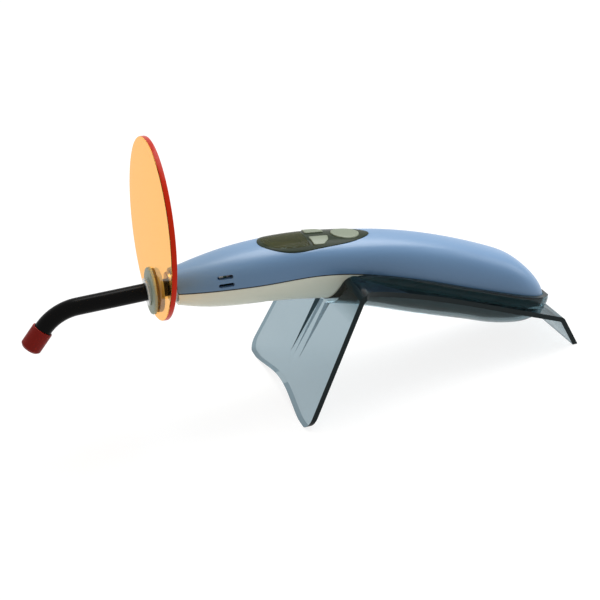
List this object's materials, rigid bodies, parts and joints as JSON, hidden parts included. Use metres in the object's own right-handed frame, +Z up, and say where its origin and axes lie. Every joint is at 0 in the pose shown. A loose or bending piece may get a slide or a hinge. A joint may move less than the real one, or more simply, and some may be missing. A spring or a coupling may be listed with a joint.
{
  "type": "dental curing light",
  "caption": "Cordless dental curing light with a bent light guide and a tilted round eye shield, resting in a folded-sheet bench stand with a trough.",
  "frame": {"origin": "on the table, at the middle of the whole object's outline", "axes": "+X from the light guide's tip towards the tail of the handpiece, +Y towards the far side, +Z up"},
  "size_m": [0.2606, 0.0886, 0.1333],
  "materials": {
    "stand": "smoky translucent, smooth",
    "blue_shell": "satin",
    "white_shell": "satin",
    "gasket": "matt",
    "panel": "glossy",
    "window": "glossy, smoked",
    "key": "satin",
    "black_jacket": "glossy black",
    "light_guide": "polished",
    "steel": "turned",
    "tip_cap": "satin",
    "shield": "transparent orange",
    "grommet": "matt",
    "hub_ring": "glossy",
    "seal": "matt",
    "lens": "polished",
    "emitter": "phosphor dome",
    "board": "solder mask",
    "aluminium": "machined",
    "lead": "satin",
    "screw": "zinc plated",
    "black_plastic": "matt",
    "white_plastic": "matt",
    "cell": "shrink sleeve",
    "brass": "bright"
  },
  "bodies": {
    "stand": {"stand": "stand"},
    "handpiece": {"upper_shell": "blue_shell", "lower_shell": "white_shell", "seam_gasket": "gasket", "panel_cover": "panel", "display_window": "window", "nose_socket": "steel", "collimator_lens": "lens", "led_emitter": "emitter", "led_board": "board", "heat_sink": "aluminium", "led_leads": "lead", "main_board": "board", "board_screws": "screw", "display_module": "black_plastic", "key_switches": "black_plastic", "buzzer": "black_plastic", "controller_chip": "black_plastic", "power_inductor": "black_plastic", "battery_connector": "white_plastic", "battery_leads": "lead", "battery_cell": "cell", "charging_socket": "black_plastic", "charging_pin": "brass", "shell_screws": "screw"},
    "guide_seal": {"guide_seal": "seal"},
    "guide": {"guide_jacket": "black_jacket", "light_guide": "light_guide", "guide_ferrule": "steel"},
    "shield_slider": {"hub_ring": "hub_ring"},
    "shield": {"shield_disc": "shield", "shield_grommet": "grommet"},
    "cap": {"tip_cap": "tip_cap"},
    "mode_key": {"mode_button": "key"},
    "time_key": {"time_button": "key"},
    "power_key": {"power_button": "key"}
  },
  "joints": [
    {"name": "handpiece_lift", "type": "slide", "parent": "stand", "child": "handpiece", "axis": [0, 0, 1], "range_m": [0, 0.08]},
    {"name": "guide_pull", "type": "slide", "parent": "handpiece", "child": "guide_seal", "axis": [-1, 0, 0], "range_m": [0, 0.03]},
    {"name": "guide_spin", "type": "hinge", "parent": "guide_seal", "child": "guide", "pos_m": [-0.0507, 0, 0.0635], "axis": [1, 0, 0], "continuous": true},
    {"name": "shield_slide", "type": "slide", "parent": "guide", "child": "shield_slider", "axis": [-1, 0, 0], "range_m": [-0.002, 0.027]},
    {"name": "shield_spin", "type": "hinge", "parent": "shield_slider", "child": "shield", "pos_m": [-0.0677, 0, 0.0635], "axis": [1, 0, 0], "continuous": true},
    {"name": "cap_pull", "type": "slide", "parent": "guide", "child": "cap", "axis": [-0.6691, 0, -0.7431], "range_m": [0, 0.014]},
    {"name": "mode_press", "type": "slide", "parent": "handpiece", "child": "mode_key", "axis": [-0.1478, 0, -0.989], "range_m": [0, 0.0005], "stiffness_N_per_m": 2000, "springref_m": -0.0002},
    {"name": "time_press", "type": "slide", "parent": "handpiece", "child": "time_key", "axis": [-0.1478, 0, -0.989], "range_m": [0, 0.0005], "stiffness_N_per_m": 2000, "springref_m": -0.0002},
    {"name": "power_press", "type": "slide", "parent": "handpiece", "child": "power_key", "axis": [-0.1478, 0, -0.989], "range_m": [0, 0.0005], "stiffness_N_per_m": 2000, "springref_m": -0.0002}
  ]
}
